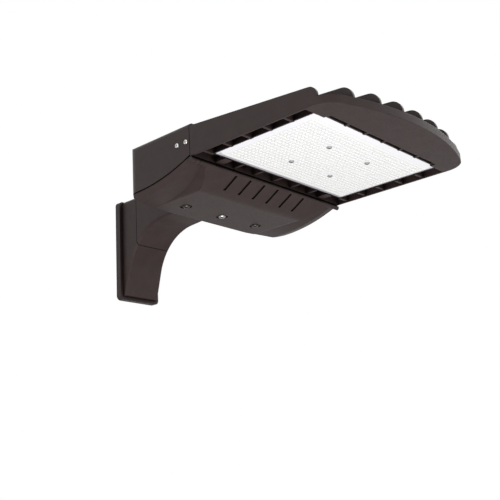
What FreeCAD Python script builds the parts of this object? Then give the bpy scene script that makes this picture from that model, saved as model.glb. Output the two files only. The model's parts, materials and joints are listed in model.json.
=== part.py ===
"""Pole-mounted LED area light with a cast bracket, a hinged driver door and a finned light frame.

Frame: millimetres. X runs from the pole along the arm, Y across, Z up.
The origin is the centre of the mounting face, midway between the two pole bolts.
"""
import FreeCAD, Part
import math
import os

V = FreeCAD.Vector

# ---------------------------------------------------------------- fits
SCREW_CLEARANCE = 0.05          # radial, screw or pin in its threaded or reamed hole
FREE_CLEARANCE = 0.4            # radial, screw passing freely through a cover
SLIP_CLEARANCE = 0.4            # arm tongue in the bracket
SEAM_GAP = 0.8                  # shadow line between bracket and arm

# ---------------------------------------------------------------- pole bracket
GASKET_THICKNESS = 2.0
FLANGE_WIDTH = 81.0
FLANGE_HEIGHT = 166.0
FLANGE_THICKNESS = 8.0
FLANGE_CORNER = 7.0
FOOT_LIP = 6.0                  # flange left below the shroud
BOLT_SPACING = 100.0
BOLT_HOLE_RADIUS = 5.5
WIRE_HOLE_RADIUS = 11.0

# ---------------------------------------------------------------- arm
ARM_WIDTH = 70.0
ARM_WALL = 4.0
ARM_TOP_DROP = 1.0              # arm's top below the flange's top
ARM_EDGE_BEVEL = 3.0
ARM_FOOT_REACH = 16.0           # shroud's reach from the mounting face at its foot
ARM_LEAN_DEG = 15.0             # lower run of the underside from the vertical
ARM_BEND_RADIUS = 85.0
ARM_RISE_DEG = 4.0              # upper run of the underside above the level
ARM_EXIT_Z = 36.0               # underside where the arm meets the casing
BRACKET_DEPTH = 45.0            # mounting face to the bracket's seam
TONGUE_LENGTH = 12.0
TONGUE_WALL = 4.0
ARM_SCREW_RADIUS = 2.5
ARM_SCREW_HEAD = 4.5
ARM_SCREW_HEAD_HEIGHT = 2.4
ARM_SCREW_SPACING = 36.0
ARM_SCREW_LENGTH = 9.0

# ---------------------------------------------------------------- driver casing
CASING_REAR_X = 168.0
CASING_LENGTH = 134.5
REAR_FLAT_WIDTH = 184.0         # straight middle part of the rear edge
REAR_SWEEP = 10.5               # how far the rear edge sweeps forward at the sides
REAR_CORNER = 18.0
CASING_WALL = 3.5
CASING_SIDE_TOP = 89.0
CROWN_RISE = 9.0                # top surfaces' rise from side to middle
TOP_EDGE_ROUND = 6.0
REAR_TOP_ROUND = 24.0
EDGE_LOW_Z = 20.0               # side wall's lower edge at the rear
EDGE_HIGH_Z = 43.0              # and at the front
EDGE_LEVEL_LENGTH = 22.0        # rear run of that edge that stays level
SEAL_LEDGE_WIDTH = 9.0
SEAL_LEDGE_HEIGHT = 3.5

# ---------------------------------------------------------------- light frame
SEAM_GASKET_THICKNESS = 1.0
SEAM_GASKET_INSET = 0.6
SEAM_GASKET_BORDER = 9.0
FRAME_LENGTH = 259.5
FRONT_RADIUS = 400.0
FRONT_CORNER = 35.0
FRAME_Z = 41.0                  # underside of the rim
FRAME_WALL = 3.2
FRAME_SIDE_TOP = 84.5
TOP_SLOPE_DEG = 5.2
FRONT_WALL_HEIGHT = 11.0
SIDE_SHOULDER_INSET = 47.0      # side wall's full height ends this far behind the front
SIDE_SHOULDER_RADIUS = 11.0
RIM_THICKNESS = 5.0
LENS_LENGTH = 170.0
LENS_WIDTH = 280.0
SIDE_SLOT_WIDTH = 20.8          # lens to the inside of the side wall
REAR_SLOT_WIDTH = 20.0          # lens to the rear wall
FRONT_SLOT_WIDTH = 9.5          # lens to the front rim
LENS_SIDE_GAP = 0.4             # lens in its recess
RECESS_LIP = 2.0                # wall of that recess
PLATE_THICKNESS = 5.0
FIN_SPACES = 8                  # bays between the side walls
FIN_THICKNESS = 4.0
FIN_NOSE_RADIUS = 18.0
FIN_END_INSET = 1.5
THIN_FIN_THICKNESS = 2.6
THIN_FIN_DROP = 13.0
SLOT_FINS = 2                   # fins each side of the middle that bridge the slots
RIB_RECESS = 1.2
SIDE_RIB_COUNT = 5
SIDE_RIB_PITCH = 34.3
SIDE_RIB_OFFSET = 21.5          # seam to the first rib
SIDE_RIB_HEIGHT = 13.0
DUCT_WIDTH = 14.0
DUCT_INSET = 27.0               # lens's side edge to the duct's axis
DUCT_HEIGHT = 21.0
DUCT_REACH = 37.0
DUCT_BORE_RADIUS = 3.2
DUCT_AXIS_HEIGHT = 16.0         # above the rim's underside
EAR_LENGTH = 34.0
EAR_HEIGHT = 24.0
EAR_THICKNESS = 3.0
EAR_Z = 63.0
EAR_GAP = 0.3

# ---------------------------------------------------------------- optic and board
LENS_FLOOR = 3.0
LENS_WALL = 4.0
LENS_BEVEL = 8.0
LENS_BEVEL_HEIGHT = 2.4
LENS_CORNER = 3.0
LENS_GASKET_THICKNESS = 1.2
PLATE_RISE = 8.0                # rim's underside up to the base plate
BOARD_THICKNESS = 1.6
BOARD_GAP = 1.0
CHIP_SIZE = 3.0
CHIP_HEIGHT = 0.7
CHIP_ROWS = 8
CHIP_COLUMNS = 12
CHIP_MARGIN = 19.0              # lens's edge to the outermost diodes
LENS_SCREW_X = 65.0
LENS_SCREW_Y = 88.0
LENS_SCREW_RADIUS = 2.0
LENS_SCREW_HEAD = 3.9
LENS_SCREW_HEAD_HEIGHT = 1.8
LENS_PILLAR_RADIUS = 4.5
LENS_BOSS_RADIUS = 5.0
LENS_BOSS_HEIGHT = 7.0
LENS_SCREW_END_GAP = 4.0        # shank's end to the top of its boss
BOARD_SCREW_MARGIN = 12.0       # lens's edge to the board's screws
BOARD_SCREW_RADIUS = 1.5
BOARD_SCREW_HEAD = 2.8
BOARD_SCREW_HEAD_HEIGHT = 1.6

# ---------------------------------------------------------------- driver door
DOOR_GASKET_THICKNESS = 1.5
DOOR_GASKET_WIDTH = 4.0
DOOR_GASKET_INSET = 3.0
DOOR_THICKNESS = 3.0
DOOR_EDGE_INSET = 0.4
DOOR_EDGE_BEVEL = 13.0          # width of the lean-in along the door's outer edges
DOOR_EDGE_LAND = 0.6            # upright edge left above that lean-in
TUB_Z = 15.0
TUB_WALL = 3.2
TUB_SLOPE_DEG = 30.0            # front slope from the level
TUB_SIDE_INSET = 53.0           # head's side to the flat's side edge
TUB_SIDE_LEAN_DEG = 53.0        # tub's sides from the vertical
TUB_BEND = 40.0
TUB_SIDE_BEND = 8.0
FLUTE_COUNT = 6
FLUTE_PITCH = 30.0
FLUTE_WIDTH = 4.8
FLUTE_DEPTH = 2.2
FLUTE_START = 0.5               # along the slope, from the hinge bead
FLUTE_LENGTH = 29.0
DOOR_SCREW_REAR_INSET = 35.0
DOOR_SCREW_SPACING = 76.0
DOOR_SCREW_RADIUS = 3.0
DOOR_SCREW_HEAD = 5.6
DOOR_SCREW_HEAD_HEIGHT = 3.0
DOOR_SCREW_GRIP = 3.0           # shank left above the pillar's end
DOOR_SCREW_PLAY = 1.2           # radial, shank in the pillar's mouth
SCREW_RECESS_RADIUS = 9.0
SCREW_RECESS_DEPTH = 1.2
RETAINER_THICKNESS = 1.0
RETAINER_WIDTH = 2.5
PILLAR_RADIUS = 6.0
PILLAR_BORE_DEPTH = 16.0
PILLAR_GAP = 0.5                # pillar's end above the retainer
HINGE_BEAD_RADIUS = 3.5
HINGE_GAP = 0.6                 # bead under the light frame, and round the lugs
HINGE_PIN_RADIUS = 1.5
HINGE_PIN_LENGTH = 19.0
HINGE_LUG_WIDTH = 8.0
HINGE_LUG_INSET = 12.0          # head's side to the middle of a lug
HINGE_LUG_RISE = 8.0            # lug's root above the hinge axis
HINGE_PLATE_OVERLAP = 1.0       # door's plate into its bead

# ---------------------------------------------------------------- inside the casing
DRIVER_LENGTH = 225.0
DRIVER_WIDTH = 68.0
DRIVER_HEIGHT = 36.0
DRIVER_REAR_X = 214.0
DRIVER_CABLE_INSET = 5.5        # driver's end to the output cable's axis
DRIVER_TOP_Z = 83.0
DRIVER_TAB_LENGTH = 14.0
DRIVER_TAB_THICKNESS = 3.0
DRIVER_TAB_HOLE_OFFSET = 8.0
DRIVER_SCREW_X = 40.0
DRIVER_SCREW_RADIUS = 2.0
DRIVER_SCREW_HEAD = 3.8
DRIVER_SCREW_HEAD_HEIGHT = 2.4
BOSS_RADIUS = 4.5
SURGE_LENGTH = 52.0
SURGE_WIDTH = 28.0
SURGE_HEIGHT = 22.0
SURGE_X = 189.5
SURGE_Y = 38.0
SURGE_EAR = 8.0
SURGE_EAR_THICKNESS = 3.0
TERMINAL_X = 187.0
TERMINAL_Y = -40.0
TERMINAL_LENGTH = 44.0
TERMINAL_WIDTH = 22.0
TERMINAL_HEIGHT = 18.0
TERMINAL_POLES = 3
TERMINAL_POLE_PITCH = 8.8
TERMINAL_HOLE_RADIUS = 2.6
TERMINAL_SCREW_SPACING = 35.2
TERMINAL_SCREW_RADIUS = 1.6
TERMINAL_SCREW_HEAD = 2.9
TERMINAL_SCREW_HEAD_HEIGHT = 2.0
GROUND_X = 184.0
GROUND_Y = 86.0
GROUND_SCREW_RADIUS = 2.0
GROUND_SCREW_HEAD = 4.2
GROUND_SCREW_HEAD_HEIGHT = 2.4
SHALLOW_HOLE = 6.0         # ground and terminal screws' holes, above the driver's seat
SHORT_SCREW = 9.0               # hole depth of the driver's and surge protector's screws
SCREW_END_GAP = 1.0             # screw's end to the end of its hole
SEAM_BOLT_Y = 62.0
SEAM_BOLT_LOW_Z = 56.0
SEAM_BOLT_HIGH_Z = 80.0
SEAM_BOLT_RADIUS = 2.5
SEAM_BOLT_HEAD = 4.4
SEAM_BOLT_HEAD_HEIGHT = 4.0
SEAM_BOLT_GRIP = 6.0            # shank past the frame's rear wall
SEAM_BOSS_LENGTH = 8.0
SIDE_SCREW_FRONT_INSET = 6.5    # casing's front face to the nearer side screw
SIDE_SCREW_PITCH = 17.0
SIDE_SCREW_RADIUS = 2.0
SIDE_SCREW_HEAD = 3.4
SIDE_SCREW_HEAD_HEIGHT = 1.4
LEAD_RADIUS = 2.3
LEAD_GRIP = 6.0                 # lead's end in the terminal block
CABLE_RADIUS = 2.2
CORE_RADIUS = 1.6               # cable's cores together, past the end of its jacket
GROMMET_FLANGE = 6.0
GROMMET_LIP = 1.5

# ---------------------------------------------------------------- worked-out places
HEAD_WIDTH = LENS_WIDTH + 2 * (SIDE_SLOT_WIDTH + FRAME_WALL)
HALF_HEAD = HEAD_WIDTH / 2
ARM_TOP = FLANGE_HEIGHT / 2 - ARM_TOP_DROP
FLANGE_FRONT_X = GASKET_THICKNESS + FLANGE_THICKNESS
SHROUD_BOTTOM = -FLANGE_HEIGHT / 2 + FOOT_LIP
CASING_FRONT_X = CASING_REAR_X + CASING_LENGTH
FRAME_REAR_X = CASING_FRONT_X + SEAM_GASKET_THICKNESS
FRAME_FRONT_X = FRAME_REAR_X + FRAME_LENGTH
REAR_WALL_FRONT_X = FRAME_REAR_X + FRAME_WALL
LENS_REAR_X = REAR_WALL_FRONT_X + REAR_SLOT_WIDTH
LENS_FRONT_X = LENS_REAR_X + LENS_LENGTH
LENS_MID_X = (LENS_REAR_X + LENS_FRONT_X) / 2
PLATE_MARGIN = LENS_SIDE_GAP + RECESS_LIP
PLATE_REAR_X = LENS_REAR_X - PLATE_MARGIN
PLATE_FRONT_X = LENS_FRONT_X + PLATE_MARGIN
PLATE_HALF = LENS_WIDTH / 2 + PLATE_MARGIN
RIM_REAR_X = LENS_FRONT_X + FRONT_SLOT_WIDTH
LIP_Z = FRAME_Z + LENS_BEVEL_HEIGHT
PLATE_Z = FRAME_Z + PLATE_RISE
PLATE_TOP = PLATE_Z + PLATE_THICKNESS
FRONT_WALL_TOP = FRAME_Z + FRONT_WALL_HEIGHT
FIN_PITCH = HEAD_WIDTH / FIN_SPACES
BOARD_Z = PLATE_Z - BOARD_THICKNESS
DUCT_OFFSET = LENS_WIDTH / 2 - DUCT_INSET
DUCT_AXIS_Z = FRAME_Z + DUCT_AXIS_HEIGHT
DUCT_END_X = FRAME_REAR_X + DUCT_REACH
DUCT_DROP_X = DUCT_END_X - 2 * DUCT_BORE_RADIUS
GROMMET_RADIUS = CABLE_RADIUS + GROMMET_LIP
EDGE_RUN = CASING_LENGTH - EDGE_LEVEL_LENGTH
EDGE_RISE = EDGE_HIGH_Z - EDGE_LOW_Z
EDGE_RADIUS = (EDGE_RUN ** 2 + EDGE_RISE ** 2) / (2 * EDGE_RISE)
EDGE_BEND_X = CASING_REAR_X + EDGE_LEVEL_LENGTH
HINGE_X = REAR_WALL_FRONT_X - HINGE_BEAD_RADIUS
HINGE_Z = FRAME_Z - HINGE_GAP - HINGE_BEAD_RADIUS
HINGE_LUG_OFFSET = HALF_HEAD - HINGE_LUG_INSET
DOOR_BOTTOM_DROP = DOOR_GASKET_THICKNESS + DOOR_THICKNESS
TUB_SLOPE = math.radians(TUB_SLOPE_DEG)
SLOPE_TOP_X = HINGE_X + HINGE_BEAD_RADIUS * math.sin(TUB_SLOPE)
SLOPE_TOP_Z = HINGE_Z - HINGE_BEAD_RADIUS * math.cos(TUB_SLOPE)
TUB_TOP_Z = EDGE_HIGH_Z + DOOR_THICKNESS + TUB_WALL
TUB_BEND_X = SLOPE_TOP_X - (SLOPE_TOP_Z - TUB_Z) / math.tan(TUB_SLOPE)
DOOR_SCREW_X = CASING_REAR_X + DOOR_SCREW_REAR_INSET
DOOR_SCREW_SEAT_Z = TUB_Z + SCREW_RECESS_DEPTH
RETAINER_Z = TUB_Z + TUB_WALL
PILLAR_Z = RETAINER_Z + RETAINER_THICKNESS + PILLAR_GAP
DRIVER_FRONT_X = DRIVER_REAR_X + DRIVER_WIDTH
DRIVER_MID_X = DRIVER_REAR_X + DRIVER_WIDTH / 2
DRIVER_HIGH_Y = DUCT_OFFSET + DRIVER_CABLE_INSET
DRIVER_LOW_Y = DRIVER_HIGH_Y - DRIVER_LENGTH
TERMINAL_LEAD_Z = DRIVER_TOP_Z - TERMINAL_HEIGHT / 2
FAR = 1000.0                    # longer than the object, for cutting tools
BELOW_DOOR = 50.0               # deeper than the door below the casing's edge
TOUCH = 0.01                    # lengths below this count as nothing
BAR_SIDES = 8
ROUND_HEAD_SIDES = 12
HEX_SIDES = 6


# ---------------------------------------------------------------- small helpers
def box(x0, x1, y0, y1, z0, z1):
    return Part.makeBox(x1 - x0, y1 - y0, z1 - z0, V(x0, y0, z0))


def rod(radius, start, end):
    way = end - start
    return Part.makeCylinder(radius, way.Length, start, way)


def prism(sides, radius, start, end):
    """Regular prism between two points, with its corners at the radius."""
    way = end - start
    turn = FreeCAD.Rotation(V(0, 0, 1), way)
    corners = []
    for side in range(sides):
        angle = 2 * math.pi * (side + 0.5) / sides
        corners.append(start + turn.multVec(V(radius * math.cos(angle), radius * math.sin(angle), 0)))
    return Part.Face(Part.makePolygon(corners + corners[:1])).extrude(way)


def bar(radius, start, end):
    """Faceted bar: threaded shanks, their holes, hidden bosses and leads, which repeat."""
    return prism(BAR_SIDES, radius, start, end)


def join(first, *others):
    return first.fuse(list(others)).removeSplitter()


def rounded_wire(points, radii):
    """Closed wire through the points, with an arc of its radius at each corner."""
    count = len(points)
    starts = []
    ends = []
    arcs = []
    for i in range(count):
        here = points[i]
        back = (points[i - 1] - here).normalize()
        ahead = (points[(i + 1) % count] - here).normalize()
        if radii[i] <= 0:
            starts.append(here)
            ends.append(here)
            arcs.append(None)
            continue
        half = back.getAngle(ahead) / 2
        reach = radii[i] / math.tan(half)
        bisector = (back + ahead).normalize()
        middle = here + bisector * (radii[i] / math.sin(half) - radii[i])
        starts.append(here + back * reach)
        ends.append(here + ahead * reach)
        arcs.append(Part.Arc(starts[i], middle, ends[i]).toShape())
    edges = []
    for i in range(count):
        if arcs[i] is not None:
            edges.append(arcs[i])
        edges.append(Part.LineSegment(ends[i], starts[(i + 1) % count]).toShape())
    return Part.Wire(edges)


def inset_points(points, distance, normal):
    """Corners moved inward by the distance; the points run anticlockwise about the normal."""
    count = len(points)
    moved = []
    for i in range(count):
        here = points[i]
        before = (here - points[i - 1]).normalize()
        after = (points[(i + 1) % count] - here).normalize()
        side_before = normal.cross(before)
        side_after = normal.cross(after)
        scale = distance / (1 + side_before.dot(side_after))
        moved.append(here + (side_before + side_after) * scale)
    return moved


def along_y(wire, half_width):
    """Prism of a wire drawn in the plane Y = 0, out to both sides."""
    face = Part.Face(wire)
    face.translate(V(0, -half_width, 0))
    return face.extrude(V(0, 2 * half_width, 0))


def along_x(wire, start, end):
    face = Part.Face(wire)
    face.translate(V(start, 0, 0))
    return face.extrude(V(end - start, 0, 0))


def upright(wire, low, high):
    """Prism of a plan wire drawn at Z = 0."""
    face = Part.Face(wire)
    face.translate(V(0, 0, low))
    return face.extrude(V(0, 0, high - low))


def slab(x0, x1, y0, y1, z0, z1, corner):
    """Plate with rounded upright corners."""
    points = [V(x0, y0, 0), V(x1, y0, 0), V(x1, y1, 0), V(x0, y1, 0)]
    return upright(rounded_wire(points, [corner] * 4), z0, z1)


def screw(head_radius, head_height, shank_radius, shank_length, seat, way):
    """Screw with a faceted round head behind its seat, and a shank that runs the given way."""
    way = V(way).normalize()
    head = prism(ROUND_HEAD_SIDES, head_radius, seat - way * head_height, seat)
    return join(head, bar(shank_radius, seat, seat + way * shank_length))


def hex_screw(head_radius, head_height, shank_radius, shank_length, seat, way):
    way = V(way).normalize()
    head = prism(HEX_SIDES, head_radius, seat - way * head_height, seat)
    return join(head, bar(shank_radius, seat, seat + way * shank_length))


# ---------------------------------------------------------------- arm and bracket
def arm_profile(inset):
    """Side view of the whole arm, its top and underside moved inward by the inset."""
    start_x = GASKET_THICKNESS - inset
    end_x = CASING_REAR_X + REAR_SWEEP + inset
    lean = math.radians(ARM_LEAN_DEG)
    rise = math.radians(ARM_RISE_DEG)
    up = V(math.sin(lean), 0, math.cos(lean))
    out = V(math.cos(rise), 0, math.sin(rise))
    low = V(ARM_FOOT_REACH, 0, SHROUD_BOTTOM)
    gap = V(CASING_REAR_X, 0, ARM_EXIT_Z) - low
    share = (gap.x * out.z - gap.z * out.x) / (up.x * out.z - up.z * out.x)
    knee = low + up * share
    tail = V(CASING_REAR_X, 0, ARM_EXIT_Z) + out * ((end_x - CASING_REAR_X) / out.x)
    points = [V(start_x, 0, ARM_TOP), V(start_x, 0, SHROUD_BOTTOM), low, knee, tail, V(tail.x, 0, ARM_TOP)]
    points = inset_points(points, inset, V(0, -1, 0))
    return rounded_wire(points, [0, 0, 0, ARM_BEND_RADIUS + inset, 0, 0])


def arm_solid(inset):
    """The arm's outside with its long edges bevelled, or its hollow where there is an inset."""
    body = along_y(arm_profile(inset), ARM_WIDTH / 2 - inset)
    if inset > 0:
        return body
    long_edges = []
    for edge in body.Edges:
        extent = edge.BoundBox
        flat = extent.YLength < TOUCH
        foot = extent.ZMax < SHROUD_BOTTOM + TOUCH
        if flat and extent.XLength > TOUCH and not foot:
            long_edges.append(edge)
    return body.makeChamfer(ARM_EDGE_BEVEL, long_edges)


def station(x0, x1):
    return box(x0, x1, -FAR, FAR, -FAR, FAR)


def pole_bolt_holes(x0, x1, radius):
    holes = []
    for sign in (-1, 1):
        z = sign * BOLT_SPACING / 2
        holes.append(rod(radius, V(x0, 0, z), V(x1, 0, z)))
    return holes


def flange_wire():
    half_width = FLANGE_WIDTH / 2
    half_height = FLANGE_HEIGHT / 2
    points = [V(0, -half_width, -half_height), V(0, half_width, -half_height)]
    points += [V(0, half_width, half_height), V(0, -half_width, half_height)]
    return rounded_wire(points, [FLANGE_CORNER] * 4)


def bracket_gasket():
    pad = along_x(flange_wire(), 0, GASKET_THICKNESS)
    holes = pole_bolt_holes(-1, GASKET_THICKNESS + 1, BOLT_HOLE_RADIUS)
    holes.append(rod(WIRE_HOLE_RADIUS, V(-1, 0, 0), V(GASKET_THICKNESS + 1, 0, 0)))
    return pad.cut(holes)


def arm_screw_places():
    x = BRACKET_DEPTH - TONGUE_LENGTH / 2
    return [V(x, -ARM_SCREW_SPACING / 2, ARM_TOP), V(x, ARM_SCREW_SPACING / 2, ARM_TOP)]


def pole_bracket():
    plate = along_x(flange_wire(), GASKET_THICKNESS, FLANGE_FRONT_X)
    front = BRACKET_DEPTH - SEAM_GAP / 2
    shroud = arm_solid(0).common(station(0, front))
    hollow = arm_solid(ARM_WALL).common(station(FLANGE_FRONT_X, FAR))
    body = join(plate, shroud).cut(hollow)
    holes = pole_bolt_holes(0, FLANGE_FRONT_X + 1, BOLT_HOLE_RADIUS)
    holes.append(rod(WIRE_HOLE_RADIUS, V(0, 0, 0), V(FLANGE_FRONT_X + 1, 0, 0)))
    for place in arm_screw_places():
        radius = ARM_SCREW_RADIUS + SCREW_CLEARANCE
        holes.append(bar(radius, place - V(0, 0, 2 * ARM_WALL), place + V(0, 0, 1)))
    return body.cut(holes)


def arm_screws():
    shapes = []
    for place in arm_screw_places():
        shapes.append(screw(ARM_SCREW_HEAD, ARM_SCREW_HEAD_HEIGHT, ARM_SCREW_RADIUS, ARM_SCREW_LENGTH,
                            place, V(0, 0, -1)))
    return Part.makeCompound(shapes)


# ---------------------------------------------------------------- casing outlines
def casing_plan(inset, front=CASING_FRONT_X):
    """The casing seen from above, moved inward by the inset."""
    corner_x = CASING_REAR_X + REAR_SWEEP
    half_flat = REAR_FLAT_WIDTH / 2
    points = [V(front, -HALF_HEAD, 0), V(front, HALF_HEAD, 0)]
    points += [V(corner_x, HALF_HEAD, 0), V(CASING_REAR_X, half_flat, 0)]
    points += [V(CASING_REAR_X, -half_flat, 0), V(corner_x, -HALF_HEAD, 0)]
    soft = REAR_CORNER * 2
    radii = [0, 0, REAR_CORNER - inset / 2, soft, soft, REAR_CORNER - inset / 2]
    return rounded_wire(inset_points(points, inset, V(0, 0, 1)), radii)


def above_curve(drop):
    """Everything above the casing's lower edge, moved square to itself by the drop."""
    radius = EDGE_RADIUS + drop
    start_x = CASING_REAR_X - CASING_WALL
    end_x = CASING_FRONT_X + CASING_WALL
    centre = V(EDGE_BEND_X, 0, EDGE_LOW_Z + EDGE_RADIUS)
    end_angle = math.asin((end_x - EDGE_BEND_X) / radius)

    def on_curve(angle):
        return centre + V(radius * math.sin(angle), 0, -radius * math.cos(angle))

    start = on_curve(0)
    end = on_curve(end_angle)
    corner = V(start_x, 0, start.z)
    edges = [Part.LineSegment(corner, start), Part.Arc(start, on_curve(end_angle / 2), end)]
    edges += [Part.LineSegment(end, V(end_x, 0, FAR)), Part.LineSegment(V(end_x, 0, FAR), V(start_x, 0, FAR))]
    edges += [Part.LineSegment(V(start_x, 0, FAR), corner)]
    return along_y(Part.Wire([edge.toShape() for edge in edges]), HALF_HEAD + CASING_WALL)


def edge_band(low_drop, high_drop):
    """Layer that follows the casing's lower edge, between two depths below it."""
    return above_curve(low_drop).cut(above_curve(high_drop))


def crown_section(side_top, low, inset, edge_round):
    """Cross-section with a crowned top, in the plane X = 0."""
    half = HALF_HEAD - inset
    top = side_top - inset
    peak = side_top + CROWN_RISE - inset
    radius = (half ** 2 + (peak - top) ** 2) / (2 * (peak - top))
    lean = math.asin(half / radius)
    drop = edge_round * math.tan(lean / 2)
    step = edge_round
    left = V(0, -half, low)
    right = V(0, half, low)
    left_up = V(0, -half, top - step)
    right_up = V(0, half, top - step)
    turn_y = half - step
    turn_z = peak - radius + math.sqrt(radius ** 2 - turn_y ** 2)
    knee_y = half - step * (1 - math.sqrt(0.5)) - drop / 4
    knee_z = top - step * (1 - math.sqrt(0.5)) + drop / 4
    edges = [Part.LineSegment(left, right), Part.LineSegment(right, right_up)]
    edges += [Part.Arc(right_up, V(0, knee_y, knee_z), V(0, turn_y, turn_z))]
    edges += [Part.Arc(V(0, turn_y, turn_z), V(0, 0, peak), V(0, -turn_y, turn_z))]
    edges += [Part.Arc(V(0, -turn_y, turn_z), V(0, -knee_y, knee_z), left_up)]
    edges += [Part.LineSegment(left_up, left)]
    return Part.Wire([edge.toShape() for edge in edges])


def casing_side_view(inset):
    """Side view of the casing with its rounded rear top corner."""
    peak = CASING_SIDE_TOP + CROWN_RISE - inset
    rear = CASING_REAR_X + inset
    points = [V(rear, 0, -FAR), V(CASING_FRONT_X, 0, -FAR), V(CASING_FRONT_X, 0, peak), V(rear, 0, peak)]
    return rounded_wire(points, [0, 0, 0, REAR_TOP_ROUND - inset])


def casing_envelope(inset):
    section = along_x(crown_section(CASING_SIDE_TOP, 0, inset, TOP_EDGE_ROUND), CASING_REAR_X, CASING_FRONT_X)
    plan = upright(casing_plan(inset), 0, CASING_SIDE_TOP + 2 * CROWN_RISE)
    side = along_y(casing_side_view(inset), HALF_HEAD + 1)
    return section.common(plan).common(side)


def door_screw_places():
    return [V(DOOR_SCREW_X, step * DOOR_SCREW_SPACING, DOOR_SCREW_SEAT_Z) for step in (-1, 0, 1)]


def hinge_axis(y):
    return V(HINGE_X, y, HINGE_Z)


def driver_screw_places():
    places = []
    low_y = DRIVER_LOW_Y - DRIVER_TAB_HOLE_OFFSET
    high_y = DRIVER_HIGH_Y + DRIVER_TAB_HOLE_OFFSET
    for y in (low_y, high_y):
        for sign in (-1, 1):
            x = DRIVER_MID_X + sign * DRIVER_SCREW_X / 2
            places.append(V(x, y, DRIVER_TOP_Z - DRIVER_TAB_THICKNESS))
    return places


def surge_screw_places():
    reach = (SURGE_LENGTH + SURGE_EAR) / 2
    seat = DRIVER_TOP_Z - SURGE_EAR_THICKNESS
    return [V(SURGE_X, SURGE_Y + sign * reach, seat) for sign in (-1, 1)]


def terminal_screw_places():
    seat = DRIVER_TOP_Z - TERMINAL_HEIGHT
    return [V(TERMINAL_X, TERMINAL_Y + sign * TERMINAL_SCREW_SPACING / 2, seat) for sign in (-1, 1)]


def terminal_poles():
    """Y of each way through the terminal block."""
    return [TERMINAL_Y + (pole - (TERMINAL_POLES - 1) / 2) * TERMINAL_POLE_PITCH for pole in range(TERMINAL_POLES)]


def seam_bolt_places():
    places = []
    for y in (-SEAM_BOLT_Y, SEAM_BOLT_Y):
        for z in (SEAM_BOLT_LOW_Z, SEAM_BOLT_HIGH_Z):
            places.append(V(CASING_FRONT_X - CASING_WALL, y, z))
    return places


def side_screw_places():
    places = []
    for sign in (-1, 1):
        for step in (0, 1):
            x = CASING_FRONT_X - SIDE_SCREW_FRONT_INSET - step * SIDE_SCREW_PITCH
            places.append(V(x, sign * HALF_HEAD, EAR_Z))
    return places


def ceiling_bosses():
    """Pillars and bosses that stand down from the casing's ceiling."""
    top = CASING_SIDE_TOP + CROWN_RISE
    shapes = []
    for place in door_screw_places():
        shapes.append(bar(PILLAR_RADIUS, V(place.x, place.y, PILLAR_Z), V(place.x, place.y, top)))
    for place in driver_screw_places() + surge_screw_places() + [V(GROUND_X, GROUND_Y, DRIVER_TOP_Z)]:
        shapes.append(bar(BOSS_RADIUS, V(place.x, place.y, DRIVER_TOP_Z), V(place.x, place.y, top)))
    half_x = TERMINAL_WIDTH / 2
    half_y = TERMINAL_LENGTH / 2
    shapes.append(box(TERMINAL_X - half_x, TERMINAL_X + half_x, TERMINAL_Y - half_y, TERMINAL_Y + half_y,
                      DRIVER_TOP_Z, top))
    return shapes


def casing_holes():
    """Every screw, bolt and cable hole in the driver casing."""
    shapes = []
    for place in door_screw_places():
        radius = DOOR_SCREW_RADIUS + DOOR_SCREW_PLAY
        top = V(place.x, place.y, PILLAR_Z + PILLAR_BORE_DEPTH)
        shapes.append(bar(radius, V(place.x, place.y, PILLAR_Z - 1), top))
    for place in driver_screw_places() + surge_screw_places():
        radius = DRIVER_SCREW_RADIUS + SCREW_CLEARANCE
        shapes.append(bar(radius, place, place + V(0, 0, SHORT_SCREW)))
    for place in terminal_screw_places():
        radius = TERMINAL_SCREW_RADIUS + SCREW_CLEARANCE
        top = V(place.x, place.y, DRIVER_TOP_Z + SHALLOW_HOLE)
        shapes.append(bar(radius, V(place.x, place.y, DRIVER_TOP_Z - 1), top))
    ground = V(GROUND_X, GROUND_Y, DRIVER_TOP_Z)
    radius = GROUND_SCREW_RADIUS + SCREW_CLEARANCE
    shapes.append(bar(radius, ground - V(0, 0, 1), ground + V(0, 0, SHALLOW_HOLE)))
    for place in seam_bolt_places():
        radius = SEAM_BOLT_RADIUS + FREE_CLEARANCE
        shapes.append(bar(radius, place - V(1, 0, 0), place + V(CASING_WALL + 1, 0, 0)))
    for place in side_screw_places():
        inward = V(0, -place.y, 0).normalize()
        radius = SIDE_SCREW_RADIUS + FREE_CLEARANCE
        shapes.append(bar(radius, place - inward, place + inward * (CASING_WALL + 1)))
    start = V(CASING_FRONT_X - CASING_WALL - 1, DUCT_OFFSET, DUCT_AXIS_Z)
    shapes.append(bar(GROMMET_RADIUS, start, start + V(CASING_WALL + 2, 0, 0)))
    return shapes


def hinge_lug(sign):
    """Ear of the casing that carries one hinge pin."""
    centre = hinge_axis(sign * HINGE_LUG_OFFSET)
    half = HINGE_LUG_WIDTH / 2
    eye = rod(HINGE_BEAD_RADIUS, centre - V(0, half, 0), centre + V(0, half, 0))
    web = box(CASING_FRONT_X - CASING_WALL, CASING_FRONT_X, centre.y - half, centre.y + half,
              centre.z, centre.z + HINGE_LUG_RISE)
    return join(eye, web)


def hinge_pin_solid(sign, radius):
    middle = hinge_axis(sign * HINGE_LUG_OFFSET)
    half = V(0, HINGE_PIN_LENGTH / 2, 0)
    return rod(radius, middle - half, middle + half)


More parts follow.
